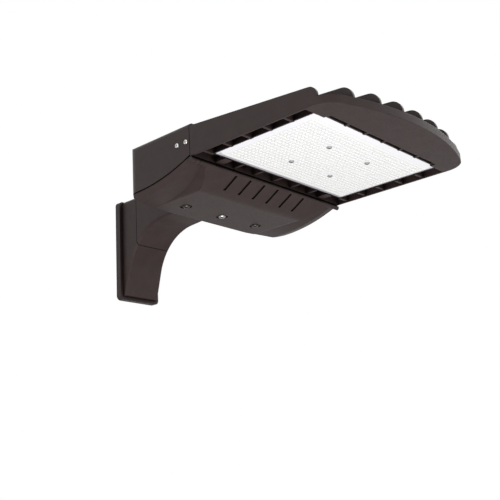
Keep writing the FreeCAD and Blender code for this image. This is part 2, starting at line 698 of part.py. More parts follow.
def rear_housing():
    shell = casing_envelope(0).cut(casing_envelope(CASING_WALL).common(station(0, CASING_FRONT_X - CASING_WALL)))
    ledge_plan = upright(casing_plan(0), 0, FAR).cut(upright(casing_plan(SEAL_LEDGE_WIDTH), 0, FAR))
    ledge = ledge_plan.common(edge_band(0, -SEAL_LEDGE_HEIGHT))
    shell = join(shell, ledge, *[boss.common(casing_envelope(1)) for boss in ceiling_bosses()])
    shell = shell.common(above_edge_with_pillars())
    arm = arm_solid(0).common(station(BRACKET_DEPTH + SEAM_GAP / 2, CASING_REAR_X + REAR_SWEEP))
    arm = arm.cut(casing_envelope(CASING_WALL))
    tongue_inset = ARM_WALL + SLIP_CLEARANCE
    tongue = arm_solid(tongue_inset)
    tongue = tongue.common(station(BRACKET_DEPTH - TONGUE_LENGTH, BRACKET_DEPTH + TONGUE_WALL))
    wireway = arm_solid(tongue_inset + TONGUE_WALL)
    body = join(shell, arm, tongue, hinge_lug(-1), hinge_lug(1)).cut(wireway)
    holes = casing_holes()
    for sign in (-1, 1):
        holes.append(ear_box(sign, EAR_GAP))
        holes.append(hinge_pin_solid(sign, HINGE_PIN_RADIUS + SCREW_CLEARANCE))
    for place in arm_screw_places():
        radius = ARM_SCREW_RADIUS + SCREW_CLEARANCE
        holes.append(bar(radius, place - V(0, 0, ARM_SCREW_LENGTH + SCREW_END_GAP), place))
    return body.cut(holes)


def above_edge_with_pillars():
    """Everything above the lower edge, and the pillars' own columns down into the tub."""
    shapes = []
    for place in door_screw_places():
        shapes.append(bar(PILLAR_RADIUS, V(place.x, place.y, PILLAR_Z), V(place.x, place.y, CASING_SIDE_TOP)))
    return join(above_curve(0), *shapes)


# ---------------------------------------------------------------- light frame
def frame_plan(inset):
    centre_x = FRAME_FRONT_X - FRONT_RADIUS
    corner_y = HALF_HEAD - FRONT_CORNER
    reach = FRONT_RADIUS - FRONT_CORNER
    corner_x = centre_x + math.sqrt(reach ** 2 - corner_y ** 2)
    side = HALF_HEAD - inset
    corner = FRONT_CORNER - inset
    front = FRONT_RADIUS - inset
    angle = math.atan2(corner_y, corner_x - centre_x)
    rear = FRAME_REAR_X + inset
    turn = V(centre_x + front * math.cos(angle), front * math.sin(angle), 0)
    half_angle = (angle + math.pi / 2) / 2
    knee = V(corner_x + corner * math.cos(half_angle), corner_y + corner * math.sin(half_angle), 0)
    tip = V(corner_x, side, 0)

    def flip(point):
        return V(point.x, -point.y, 0)

    edges = [Part.LineSegment(V(rear, -side, 0), flip(tip)), Part.Arc(flip(tip), flip(knee), flip(turn))]
    edges += [Part.Arc(flip(turn), V(centre_x + front, 0, 0), turn), Part.Arc(turn, knee, tip)]
    edges += [Part.LineSegment(tip, V(rear, side, 0)), Part.LineSegment(V(rear, side, 0), V(rear, -side, 0))]
    return Part.Wire([edge.toShape() for edge in edges])


def front_x(y):
    """Where the convex front edge lies at a given Y."""
    return FRAME_FRONT_X - FRONT_RADIUS + math.sqrt(FRONT_RADIUS ** 2 - y ** 2)


def top_z(x, y):
    """Height of the fins' tops, which stay nearly level across the middle."""
    slope = math.tan(math.radians(TOP_SLOPE_DEG))
    crown = CROWN_RISE * (1 - (y / HALF_HEAD) ** 4)
    return FRAME_SIDE_TOP + crown - slope * (x - FRAME_REAR_X)


def side_wall_view():
    shoulder_x = FRAME_FRONT_X - SIDE_SHOULDER_INSET
    points = [V(FRAME_REAR_X - 1, 0, FRAME_Z), V(FRAME_FRONT_X + 1, 0, FRAME_Z)]
    points += [V(FRAME_FRONT_X + 1, 0, FRONT_WALL_TOP), V(shoulder_x, 0, FRONT_WALL_TOP)]
    points += [V(shoulder_x, 0, top_z(shoulder_x, HALF_HEAD)), V(FRAME_REAR_X - 1, 0, FRAME_SIDE_TOP)]
    return rounded_wire(points, [0, 0, 0, 0, SIDE_SHOULDER_RADIUS, 0])


def fin(y, thickness, start_x, end_x, low, high_drop, nose):
    """Upright cooling fin with a rounded nose, its top following the sloping crown."""
    points = [V(start_x, 0, low), V(end_x, 0, low)]
    points += [V(end_x, 0, top_z(end_x, y) - high_drop), V(start_x, 0, top_z(start_x, y) - high_drop)]
    plate = along_y(rounded_wire(points, [0, 0, nose, 0]), thickness / 2)
    plate.translate(V(0, y, 0))
    return plate


def main_fins():
    shapes = []
    for step in range(1, FIN_SPACES):
        place = step - FIN_SPACES / 2
        y = place * FIN_PITCH
        bridges = abs(place) <= SLOT_FINS
        rib_low = FRAME_Z + RIB_RECESS
        rear_low = rib_low if bridges else PLATE_Z + 1
        end_x = front_x(y) - FIN_END_INSET
        rear = fin(y, FIN_THICKNESS, FRAME_REAR_X + 1, PLATE_FRONT_X, rear_low, 0, 0)
        nose = fin(y, FIN_THICKNESS, PLATE_FRONT_X, end_x, rib_low, 0, FIN_NOSE_RADIUS)
        shapes.append(join(rear, nose))
    return shapes


def thin_fins():
    shapes = []
    for step in range(FIN_SPACES):
        y = (step + 0.5 - FIN_SPACES / 2) * FIN_PITCH
        if abs(y) + THIN_FIN_THICKNESS < PLATE_HALF:
            start_x = max(PLATE_REAR_X, DUCT_END_X)
            shapes.append(fin(y, THIN_FIN_THICKNESS, start_x + FIN_THICKNESS, PLATE_FRONT_X, PLATE_TOP - 1,
                              THIN_FIN_DROP, 0))
    return shapes


def side_ribs():
    shapes = []
    outer = HALF_HEAD - FRAME_WALL / 2
    low = FRAME_Z + RIB_RECESS
    for step in range(SIDE_RIB_COUNT):
        x = FRAME_REAR_X + SIDE_RIB_OFFSET + step * SIDE_RIB_PITCH
        x0 = x - FIN_THICKNESS / 2
        x1 = x + FIN_THICKNESS / 2
        inner = PLATE_HALF - 1
        shapes.append(box(x0, x1, inner, outer, low, FRAME_Z + SIDE_RIB_HEIGHT))
        shapes.append(box(x0, x1, -outer, -inner, low, FRAME_Z + SIDE_RIB_HEIGHT))
    return shapes


def duct_blocks():
    """Posts that bridge the rear slot; one of them carries the board's cable."""
    shapes = []
    for sign in (-1, 1):
        y = sign * DUCT_OFFSET
        low = FRAME_Z + RIB_RECESS / 2
        shapes.append(box(FRAME_REAR_X + 1, DUCT_END_X, y - DUCT_WIDTH / 2, y + DUCT_WIDTH / 2,
                          low, FRAME_Z + DUCT_HEIGHT))
    return shapes


def lens_screw_places(z):
    places = []
    for sign_x in (-1, 1):
        for sign_y in (-1, 1):
            places.append(V(LENS_MID_X + sign_x * LENS_SCREW_X / 2, sign_y * LENS_SCREW_Y / 2, z))
    return places


def board_screw_places(z):
    places = []
    half_length = LENS_LENGTH / 2 - BOARD_SCREW_MARGIN
    half_width = LENS_WIDTH / 2 - BOARD_SCREW_MARGIN
    for sign_x in (-1, 1):
        for sign_y in (-1, 1):
            places.append(V(LENS_MID_X + sign_x * half_length, sign_y * half_width, z))
    return places


def frame_holes():
    shapes = []
    for place in lens_screw_places(PLATE_Z - 1):
        radius = LENS_SCREW_RADIUS + SCREW_CLEARANCE
        shapes.append(bar(radius, place, place + V(0, 0, PLATE_THICKNESS + LENS_BOSS_HEIGHT)))
    for place in board_screw_places(PLATE_Z - 1):
        radius = BOARD_SCREW_RADIUS + SCREW_CLEARANCE
        shapes.append(bar(radius, place, place + V(0, 0, PLATE_THICKNESS)))
    start = V(FRAME_REAR_X - 1, DUCT_OFFSET, DUCT_AXIS_Z)
    drop = V(DUCT_DROP_X, DUCT_OFFSET, DUCT_AXIS_Z)
    drop_radius = DUCT_BORE_RADIUS + FREE_CLEARANCE
    shapes.append(bar(DUCT_BORE_RADIUS, start, drop))
    shapes.append(bar(drop_radius, drop + V(0, 0, drop_radius), V(drop.x, drop.y, PLATE_Z - 1)))
    for place in seam_bolt_places():
        radius = SEAM_BOLT_RADIUS + SCREW_CLEARANCE
        start = V(FRAME_REAR_X - 1, place.y, place.z)
        shapes.append(bar(radius, start, start + V(FRAME_WALL + SEAM_BOSS_LENGTH, 0, 0)))
    for place in side_screw_places():
        inward = V(0, -place.y, 0).normalize()
        radius = SIDE_SCREW_RADIUS + SCREW_CLEARANCE
        shapes.append(bar(radius, place + inward, place + inward * (CASING_WALL + 2 * EAR_THICKNESS)))
    return shapes


def ear_box(sign, margin):
    """Space of one ear that reaches back inside the casing's side wall, grown by the margin."""
    outer = HALF_HEAD - CASING_WALL - EAR_GAP
    y_near = sign * (outer + margin)
    y_far = sign * (outer - EAR_THICKNESS - margin)
    half = EAR_HEIGHT / 2 + margin
    return box(CASING_FRONT_X - EAR_LENGTH, REAR_WALL_FRONT_X, min(y_near, y_far), max(y_near, y_far),
               EAR_Z - half, EAR_Z + half)


def seam_bosses():
    shapes = []
    for place in seam_bolt_places():
        start = V(FRAME_REAR_X + 1, place.y, place.z)
        shapes.append(bar(SEAM_BOLT_HEAD, start, start + V(FRAME_WALL + SEAM_BOSS_LENGTH, 0, 0)))
    return shapes


def led_housing():
    ring = upright(frame_plan(0), FRAME_Z, FAR).cut(upright(frame_plan(FRAME_WALL), 0, FAR))
    wall = ring.common(along_y(side_wall_view(), HALF_HEAD + 1))
    rear_section = crown_section(FRAME_SIDE_TOP, FRAME_Z, 0, FRAME_WALL)
    rear_wall = along_x(rear_section, FRAME_REAR_X, REAR_WALL_FRONT_X)
    inside = upright(frame_plan(FRAME_WALL / 2), FRAME_Z, FRAME_Z + RIM_THICKNESS)
    rim = inside.common(station(RIM_REAR_X, FAR))
    half_open = (SLOT_FINS + 1) * FIN_PITCH + FIN_THICKNESS / 2
    corners = []
    for sign in (-1, 1):
        y0 = min(sign * half_open, sign * HALF_HEAD)
        y1 = max(sign * half_open, sign * HALF_HEAD)
        corners.append(inside.common(box(LENS_FRONT_X, RIM_REAR_X + 1, y0, y1, 0, FAR)))
    plate = box(PLATE_REAR_X, PLATE_FRONT_X, -PLATE_HALF, PLATE_HALF, LIP_Z, PLATE_TOP)
    fins = [shape.common(upright(frame_plan(0), 0, FAR)) for shape in main_fins()]
    screw_bosses = []
    for place in lens_screw_places(PLATE_TOP - 1):
        screw_bosses.append(bar(LENS_BOSS_RADIUS, place, place + V(0, 0, LENS_BOSS_HEIGHT)))
    body = join(wall, rear_wall, rim, plate, *corners, *fins, *thin_fins(), *side_ribs(), *duct_blocks(),
                *screw_bosses, *seam_bosses(), ear_box(-1, 0), ear_box(1, 0))
    recess = lens_block(-LENS_SIDE_GAP, 0, PLATE_Z)
    return body.cut([recess] + frame_holes())


def seam_gasket():
    pad = along_x(crown_section(FRAME_SIDE_TOP, FRAME_Z, SEAM_GASKET_INSET, 1), CASING_FRONT_X, FRAME_REAR_X)
    start = V(CASING_FRONT_X - 1, DUCT_OFFSET, DUCT_AXIS_Z)
    holes = [bar(DUCT_BORE_RADIUS, start, start + V(SEAM_GASKET_THICKNESS + 2, 0, 0))]
    for place in seam_bolt_places():
        start = V(CASING_FRONT_X - 1, place.y, place.z)
        radius = SEAM_BOLT_RADIUS + FREE_CLEARANCE
        holes.append(bar(radius, start, start + V(SEAM_GASKET_THICKNESS + 2, 0, 0)))
    window = SEAM_BOLT_Y - SEAM_GASKET_BORDER
    holes.append(box(0, FAR, -window, window, FRAME_Z + SEAM_GASKET_BORDER, SEAM_BOLT_HIGH_Z))
    holes += [ear_box(-1, EAR_GAP), ear_box(1, EAR_GAP)]
    return pad.cut(holes)


def seam_bolts():
    shapes = []
    length = CASING_WALL + SEAM_GASKET_THICKNESS + FRAME_WALL + SEAM_BOLT_GRIP
    for place in seam_bolt_places():
        shapes.append(hex_screw(SEAM_BOLT_HEAD, SEAM_BOLT_HEAD_HEIGHT, SEAM_BOLT_RADIUS, length,
                                place, V(1, 0, 0)))
    return Part.makeCompound(shapes)


def side_screws():
    shapes = []
    length = CASING_WALL + EAR_THICKNESS + SCREW_END_GAP
    for place in side_screw_places():
        inward = V(0, -place.y, 0).normalize()
        shapes.append(screw(SIDE_SCREW_HEAD, SIDE_SCREW_HEAD_HEIGHT, SIDE_SCREW_RADIUS, length, place, inward))
    return Part.makeCompound(shapes)


# ---------------------------------------------------------------- optic and board
def lens_block(inset, low, high):
    """Slab with the lens's outline moved inward."""
    half = LENS_WIDTH / 2 - inset
    return slab(LENS_REAR_X + inset, LENS_FRONT_X - inset, -half, half, low, high, LENS_CORNER)


def square_block(inset, low, high):
    """The same slab with square corners, for what lies behind the lens."""
    half = LENS_WIDTH / 2 - inset
    return box(LENS_REAR_X + inset, LENS_FRONT_X - inset, -half, half, low, high)


def lens_panel():
    bevel_top = FRAME_Z + LENS_BEVEL_HEIGHT
    wall_top = PLATE_Z - LENS_GASKET_THICKNESS
    floor_top = FRAME_Z + LENS_FLOOR

    def outline(inset, z):
        half = LENS_WIDTH / 2 - inset
        points = [V(LENS_REAR_X + inset, -half, z), V(LENS_FRONT_X - inset, -half, z)]
        points += [V(LENS_FRONT_X - inset, half, z), V(LENS_REAR_X + inset, half, z)]
        return rounded_wire(points, [LENS_CORNER] * 4)

    bevel = Part.makeLoft([outline(LENS_BEVEL, FRAME_Z), outline(0, bevel_top)], True, True)
    body = join(bevel, lens_block(0, bevel_top, wall_top))
    body = body.cut(square_block(LENS_WALL, floor_top, wall_top + 1))
    pillars = [bar(LENS_PILLAR_RADIUS, place, V(place.x, place.y, BOARD_Z))
               for place in lens_screw_places(floor_top - 1)]
    body = join(body, *pillars)
    holes = [bar(LENS_SCREW_RADIUS + SCREW_CLEARANCE, place, V(place.x, place.y, PLATE_Z))
             for place in lens_screw_places(FRAME_Z - 1)]
    return body.cut(holes)


def lens_gasket():
    ring = lens_block(0, PLATE_Z - LENS_GASKET_THICKNESS, PLATE_Z)
    return ring.cut(square_block(LENS_WALL, 0, FAR))


def led_board():
    board = square_block(LENS_WALL + BOARD_GAP, BOARD_Z, PLATE_Z)
    holes = []
    for place in lens_screw_places(BOARD_Z - 1):
        holes.append(bar(LENS_SCREW_RADIUS + FREE_CLEARANCE, place, V(place.x, place.y, PLATE_Z + 1)))
    for place in board_screw_places(BOARD_Z - 1):
        holes.append(bar(BOARD_SCREW_RADIUS + FREE_CLEARANCE, place, V(place.x, place.y, PLATE_Z + 1)))
    return board.cut(holes)


def led_chips():
    half = CHIP_SIZE / 2
    pitch_x = (LENS_LENGTH - 2 * CHIP_MARGIN) / (CHIP_ROWS - 1)
    pitch_y = (LENS_WIDTH - 2 * CHIP_MARGIN) / (CHIP_COLUMNS - 1)
    shapes = []
    for row in range(CHIP_ROWS):
        for column in range(CHIP_COLUMNS):
            x = LENS_MID_X + (row - (CHIP_ROWS - 1) / 2) * pitch_x
            y = (column - (CHIP_COLUMNS - 1) / 2) * pitch_y
            keep_clear = LENS_PILLAR_RADIUS + CHIP_SIZE
            near = [p for p in lens_screw_places(0) + board_screw_places(0)
                    if math.hypot(p.x - x, p.y - y) < keep_clear]
            if near:
                continue
            shapes.append(box(x - half, x + half, y - half, y + half, BOARD_Z - CHIP_HEIGHT, BOARD_Z))
    return Part.makeCompound(shapes)


def lens_screws():
    shapes = []
    length = PLATE_TOP + LENS_BOSS_HEIGHT - FRAME_Z - LENS_SCREW_END_GAP
    for place in lens_screw_places(FRAME_Z):
        shapes.append(screw(LENS_SCREW_HEAD, LENS_SCREW_HEAD_HEIGHT, LENS_SCREW_RADIUS, length, place, V(0, 0, 1)))
    return Part.makeCompound(shapes)


def board_screws():
    shapes = []
    length = BOARD_THICKNESS + PLATE_THICKNESS - SCREW_END_GAP
    for place in board_screw_places(BOARD_Z):
        shapes.append(hex_screw(BOARD_SCREW_HEAD, BOARD_SCREW_HEAD_HEIGHT, BOARD_SCREW_RADIUS, length,
                                place, V(0, 0, 1)))
    return Part.makeCompound(shapes)


# ---------------------------------------------------------------- driver door
def tub_solid(inset):
    """Bulge of the door, or its hollow where there is an inset: a flat, a front slope, leaning sides."""
    rise = TUB_TOP_Z - TUB_Z
    points = [V(CASING_REAR_X, 0, TUB_Z), V(TUB_BEND_X, 0, TUB_Z)]
    points += [V(TUB_BEND_X + rise / math.tan(TUB_SLOPE), 0, TUB_TOP_Z), V(CASING_REAR_X, 0, TUB_TOP_Z)]
    side_view = rounded_wire(inset_points(points, inset, V(0, -1, 0)), [0, TUB_BEND - inset, 0, 0])
    half = HALF_HEAD - TUB_SIDE_INSET
    spread = rise * math.tan(math.radians(TUB_SIDE_LEAN_DEG))
    corners = [V(0, -half, TUB_Z), V(0, half, TUB_Z)]
    corners += [V(0, half + spread, TUB_TOP_Z), V(0, -half - spread, TUB_TOP_Z)]
    bend = TUB_SIDE_BEND - inset
    section = rounded_wire(inset_points(corners, inset, V(1, 0, 0)), [bend, bend, 0, 0])
    body = along_y(side_view, HALF_HEAD).common(along_x(section, CASING_REAR_X, SLOPE_TOP_X))
    return body.common(upright(casing_plan(DOOR_EDGE_INSET + inset, FAR), 0, TUB_TOP_Z))


def door_edge_wedges():
    """What the door's two outer edges lose below their lean-in."""
    outer = HALF_HEAD - DOOR_EDGE_INSET
    bottom = EDGE_LOW_Z - DOOR_BOTTOM_DROP
    lean = V(0, DOOR_EDGE_BEVEL, DOOR_THICKNESS - DOOR_EDGE_LAND)
    centre = V(EDGE_BEND_X, 0, EDGE_LOW_Z + EDGE_RADIUS)
    sweep = math.asin((HINGE_X - HINGE_BEAD_RADIUS - EDGE_BEND_X) / EDGE_RADIUS)
    shapes = []
    for sign in (-1, 1):
        inner = V(EDGE_BEND_X, outer - DOOR_EDGE_BEVEL, bottom)
        deep = V(0, 0, BELOW_DOOR)
        points = [inner, inner + lean * 2, inner + lean * 2 - deep, inner - deep]
        corners = [V(point.x, sign * point.y, point.z) for point in points]
        wedge = Part.Face(Part.makePolygon(corners + corners[:1]))
        shapes.append(wedge.revolve(centre, V(0, -1, 0), math.degrees(sweep)))
        shapes.append(wedge.extrude(V(-2 * EDGE_LEVEL_LENGTH, 0, 0)))
    return shapes


def flutes():
    """Shallow grooves down the door's front slope."""
    slope = V(math.cos(TUB_SLOPE), 0, math.sin(TUB_SLOPE))
    inward = V(-slope.z, 0, slope.x)
    top = V(SLOPE_TOP_X, 0, SLOPE_TOP_Z) - slope * FLUTE_START
    low = top - slope * FLUTE_LENGTH
    deep = inward * FLUTE_DEPTH
    points = [low - inward, top - inward, top + deep, low + deep]
    tool = along_y(Part.makePolygon(points + points[:1]), FLUTE_WIDTH / 2)
    shapes = []
    for step in range(FLUTE_COUNT):
        groove = tool.copy()
        groove.translate(V(0, (step - (FLUTE_COUNT - 1) / 2) * FLUTE_PITCH, 0))
        shapes.append(groove)
    return shapes


def driver_door():
    bead_rear = HINGE_X - HINGE_BEAD_RADIUS
    plate = edge_band(DOOR_BOTTOM_DROP, DOOR_GASKET_THICKNESS)
    plate = plate.common(station(0, bead_rear + HINGE_PLATE_OVERLAP)).cut(door_edge_wedges())
    bead = rod(HINGE_BEAD_RADIUS, hinge_axis(-HALF_HEAD), hinge_axis(HALF_HEAD))
    tub = tub_solid(0).common(edge_band(BELOW_DOOR, DOOR_BOTTOM_DROP - 1))
    tub = tub.cut(box(HINGE_X, FAR, -FAR, FAR, HINGE_Z, FAR))
    plan = upright(casing_plan(DOOR_EDGE_INSET, FAR), 0, FAR)
    body = join(plate, tub, bead).common(plan)
    body = body.cut(tub_solid(TUB_WALL).common(station(0, bead_rear)))
    holes = flutes()
    for place in door_screw_places():
        holes.append(rod(SCREW_RECESS_RADIUS, V(place.x, place.y, 0), place))
        radius = DOOR_SCREW_RADIUS + FREE_CLEARANCE
        holes.append(bar(radius, place - V(0, 0, 1), V(place.x, place.y, PILLAR_Z)))
    for sign in (-1, 1):
        y = sign * HINGE_LUG_OFFSET
        half = HINGE_LUG_WIDTH / 2 + HINGE_GAP
        holes.append(box(CASING_FRONT_X - CASING_WALL - HINGE_GAP, FAR, y - half, y + half, 0, FAR))
        holes.append(hinge_pin_solid(sign, HINGE_PIN_RADIUS + SCREW_CLEARANCE))
    return body.cut(holes)


def door_gasket():
    outer = upright(casing_plan(DOOR_GASKET_INSET), 0, FAR)
    inner = upright(casing_plan(DOOR_GASKET_INSET + DOOR_GASKET_WIDTH), 0, FAR)
    front = HINGE_X - HINGE_BEAD_RADIUS - HINGE_GAP - 1
    ring = outer.common(station(0, front)).cut(inner.common(station(0, front - DOOR_GASKET_WIDTH)))
    return ring.common(edge_band(DOOR_GASKET_THICKNESS, 0))


def hinge_pins():
    return Part.makeCompound([hinge_pin_solid(-1, HINGE_PIN_RADIUS), hinge_pin_solid(1, HINGE_PIN_RADIUS)])


def door_screws():
    shapes = []
    length = PILLAR_Z + DOOR_SCREW_GRIP - DOOR_SCREW_SEAT_Z
    for place in door_screw_places():
        shapes.append(screw(DOOR_SCREW_HEAD, DOOR_SCREW_HEAD_HEIGHT, DOOR_SCREW_RADIUS, length, place, V(0, 0, 1)))
    return Part.makeCompound(shapes)


def door_screw_retainers():
    shapes = []
    for place in door_screw_places():
        base = V(place.x, place.y, RETAINER_Z)
        top = base + V(0, 0, RETAINER_THICKNESS)
        ring = bar(DOOR_SCREW_RADIUS + RETAINER_WIDTH, base, top)
        shapes.append(ring.cut(bar(DOOR_SCREW_RADIUS + SCREW_CLEARANCE, base - V(0, 0, 1), top + V(0, 0, 1))))
    return Part.makeCompound(shapes)


# ---------------------------------------------------------------- inside the casing
def led_driver():
    low = DRIVER_TOP_Z - DRIVER_HEIGHT
    body = box(DRIVER_REAR_X, DRIVER_FRONT_X, DRIVER_LOW_Y, DRIVER_HIGH_Y, low, DRIVER_TOP_Z)
    half = DRIVER_SCREW_X / 2 + 2 * DRIVER_SCREW_HEAD
    tabs = box(DRIVER_MID_X - half, DRIVER_MID_X + half, DRIVER_LOW_Y - DRIVER_TAB_LENGTH,
               DRIVER_HIGH_Y + DRIVER_TAB_LENGTH, DRIVER_TOP_Z - DRIVER_TAB_THICKNESS, DRIVER_TOP_Z)
    return join(body, tabs).cut(ceiling_screw_holes(driver_screw_places()))


def ceiling_screw_holes(places):
    radius = DRIVER_SCREW_RADIUS + FREE_CLEARANCE
    return [bar(radius, place - V(0, 0, 1), V(place.x, place.y, DRIVER_TOP_Z + 1)) for place in places]


def ceiling_screws(places):
    shapes = []
    for place in places:
        shapes.append(hex_screw(DRIVER_SCREW_HEAD, DRIVER_SCREW_HEAD_HEIGHT, DRIVER_SCREW_RADIUS,
                                SHORT_SCREW - SCREW_END_GAP, place, V(0, 0, 1)))
    return Part.makeCompound(shapes)


def driver_screws():
    return ceiling_screws(driver_screw_places())


def surge_protector():
    half_x = SURGE_WIDTH / 2
    half_y = SURGE_LENGTH / 2
    body = box(SURGE_X - half_x, SURGE_X + half_x, SURGE_Y - half_y, SURGE_Y + half_y,
               DRIVER_TOP_Z - SURGE_HEIGHT, DRIVER_TOP_Z)
    reach = half_y + SURGE_EAR
    ears = box(SURGE_X - SURGE_EAR, SURGE_X + SURGE_EAR, SURGE_Y - reach, SURGE_Y + reach,
               DRIVER_TOP_Z - SURGE_EAR_THICKNESS, DRIVER_TOP_Z)
    return join(body, ears).cut(ceiling_screw_holes(surge_screw_places()))


def surge_screws():
    return ceiling_screws(surge_screw_places())


def terminal_block():
    half_x = TERMINAL_WIDTH / 2
    half_y = TERMINAL_LENGTH / 2
    low = DRIVER_TOP_Z - TERMINAL_HEIGHT
    body = box(TERMINAL_X - half_x, TERMINAL_X + half_x, TERMINAL_Y - half_y, TERMINAL_Y + half_y, low, DRIVER_TOP_Z)
    holes = []
    for y in terminal_poles():
        middle = V(TERMINAL_X, y, TERMINAL_LEAD_Z)
        holes.append(bar(TERMINAL_HOLE_RADIUS, middle - V(half_x + 1, 0, 0), middle + V(half_x + 1, 0, 0)))
    for place in terminal_screw_places():
        radius = TERMINAL_SCREW_RADIUS + SCREW_CLEARANCE
        holes.append(bar(radius, place - V(0, 0, 1), V(place.x, place.y, DRIVER_TOP_Z + 1)))
    return body.cut(holes)


def terminal_block_screws():
    length = TERMINAL_HEIGHT + SHALLOW_HOLE - SCREW_END_GAP
    shapes = []
    for place in terminal_screw_places():
        shapes.append(hex_screw(TERMINAL_SCREW_HEAD, TERMINAL_SCREW_HEAD_HEIGHT, TERMINAL_SCREW_RADIUS, length,
                                place, V(0, 0, 1)))
    return Part.makeCompound(shapes)


def ground_screw():
    length = SHALLOW_HOLE - SCREW_END_GAP
    return hex_screw(GROUND_SCREW_HEAD, GROUND_SCREW_HEAD_HEIGHT, GROUND_SCREW_RADIUS, length,
                     V(GROUND_X, GROUND_Y, DRIVER_TOP_Z), V(0, 0, 1))


def cable_grommet():
    start = V(CASING_FRONT_X - CASING_WALL, DUCT_OFFSET, DUCT_AXIS_Z)
    end = V(CASING_FRONT_X, DUCT_OFFSET, DUCT_AXIS_Z)
    collar_end = start - V(GROMMET_LIP, 0, 0)
    sleeve = bar(GROMMET_RADIUS, start, end)
    collar = bar(GROMMET_FLANGE, collar_end, start)
    hole = bar(CABLE_RADIUS + SCREW_CLEARANCE, collar_end - V(1, 0, 0), end + V(1, 0, 0))
    return join(sleeve, collar).cut(hole)


def output_cable():
    """Straight from the driver through the seam; its cores then drop through the duct to the board."""
    start = V(DRIVER_FRONT_X, DUCT_OFFSET, DUCT_AXIS_Z)
    turn = V(DUCT_DROP_X, DUCT_OFFSET, DUCT_AXIS_Z)
    along = bar(CABLE_RADIUS, start, turn + V(CABLE_RADIUS, 0, 0))
    down = bar(CORE_RADIUS, turn, V(turn.x, turn.y, PLATE_Z))
    return join(along, down)


def input_leads():
    """Three leads from the terminal block to the driver."""
    start_x = TERMINAL_X + TERMINAL_WIDTH / 2 - LEAD_GRIP
    shapes = []
    for y in terminal_poles():
        shapes.append(bar(LEAD_RADIUS, V(start_x, y, TERMINAL_LEAD_Z), V(DRIVER_REAR_X, y, TERMINAL_LEAD_Z)))
    return Part.makeCompound(shapes)


# ---------------------------------------------------------------- build
NODES = [
    bracket_gasket, pole_bracket, arm_screws, rear_housing, seam_gasket, led_housing, seam_bolts,
    side_screws, led_driver, driver_screws, surge_protector, surge_screws, terminal_block,
    terminal_block_screws, ground_screw, cable_grommet, output_cable, input_leads, led_board,
    led_chips, board_screws, lens_gasket, lens_panel, lens_screws, door_gasket, hinge_pins,
    driver_door, door_screws, door_screw_retainers,
]


def main():
    os.makedirs("parts", exist_ok=True)
    for make in NODES:
        shape = make()
        box_ = shape.BoundBox
        print(make.__name__, "solids", len(shape.Solids), "valid", shape.isValid(),
              [round(v, 1) for v in (box_.XMin, box_.XMax, box_.YMin, box_.YMax, box_.ZMin, box_.ZMax)])
        shape.exportStep("parts/" + make.__name__ + ".step")


main()
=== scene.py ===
"""Looks of an LED area light: finishes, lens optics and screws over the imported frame.

Lengths are in metres and noise scales per metre. Each piece takes its place from the frame.
"""
import json
import math
from collections import namedtuple
from itertools import product

import bmesh
import bpy
from mathutils import Matrix, Vector


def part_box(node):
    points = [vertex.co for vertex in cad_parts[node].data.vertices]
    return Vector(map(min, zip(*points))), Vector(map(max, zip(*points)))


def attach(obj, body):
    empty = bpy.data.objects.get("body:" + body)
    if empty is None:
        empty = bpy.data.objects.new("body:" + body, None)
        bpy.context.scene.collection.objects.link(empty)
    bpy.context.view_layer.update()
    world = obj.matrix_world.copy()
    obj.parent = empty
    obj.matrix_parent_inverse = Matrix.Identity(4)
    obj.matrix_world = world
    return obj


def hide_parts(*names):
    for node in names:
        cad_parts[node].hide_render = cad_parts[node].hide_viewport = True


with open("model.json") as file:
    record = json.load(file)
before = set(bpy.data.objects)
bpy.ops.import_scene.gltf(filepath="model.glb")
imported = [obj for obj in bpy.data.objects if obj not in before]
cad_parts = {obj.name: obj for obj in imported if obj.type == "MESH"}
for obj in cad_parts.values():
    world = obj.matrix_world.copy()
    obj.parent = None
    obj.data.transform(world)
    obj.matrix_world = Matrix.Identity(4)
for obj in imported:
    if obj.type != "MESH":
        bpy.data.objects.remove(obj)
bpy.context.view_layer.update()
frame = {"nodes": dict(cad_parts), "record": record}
NODES = frame["nodes"]

# ---------------------------------------------------------------- camera, as the picture was taken
CAMERA_PLACE = Vector((1.0651, -0.9253, -0.3945))
CAMERA_AZIMUTH = 0.71845
CAMERA_PITCH = 0.27308
CAMERA_ROLL = -0.05653
FOCAL_LENGTH_PX = 866.7
FRAME_WIDTH_PX = 500
SENSOR_MM = 36.0
CLIP_NEAR = 0.01
CLIP_FAR = 50


def aim_camera():
    """Camera whose axes come from an azimuth off +Y, an upward pitch and a roll."""
    sin_a, cos_a = math.sin(CAMERA_AZIMUTH), math.cos(CAMERA_AZIMUTH)
    sin_p, cos_p = math.sin(CAMERA_PITCH), math.cos(CAMERA_PITCH)
    sin_r, cos_r = math.sin(CAMERA_ROLL), math.cos(CAMERA_ROLL)
    ahead = Vector((-sin_a * cos_p, cos_a * cos_p, sin_p))
    level = Vector((cos_a, sin_a, 0))
    up = level.cross(ahead)
    right = level * cos_r + up * sin_r
    top = up * cos_r - level * sin_r
    turn = Matrix((right, top, -ahead)).transposed().to_4x4()
    data = bpy.data.cameras.new("camera")
    data.sensor_width = SENSOR_MM
    data.lens = SENSOR_MM * FOCAL_LENGTH_PX / FRAME_WIDTH_PX
    data.clip_start = CLIP_NEAR
    data.clip_end = CLIP_FAR
    camera = bpy.data.objects.new("camera", data)
    camera.matrix_world = Matrix.Translation(CAMERA_PLACE) @ turn
    bpy.context.scene.collection.objects.link(camera)
    bpy.context.scene.camera = camera


# ---------------------------------------------------------------- material helpers
OCCLUSION_SHADE_SAMPLES = 8
EDGE_SAMPLES = 4
BUMP_STRENGTH = 0.5


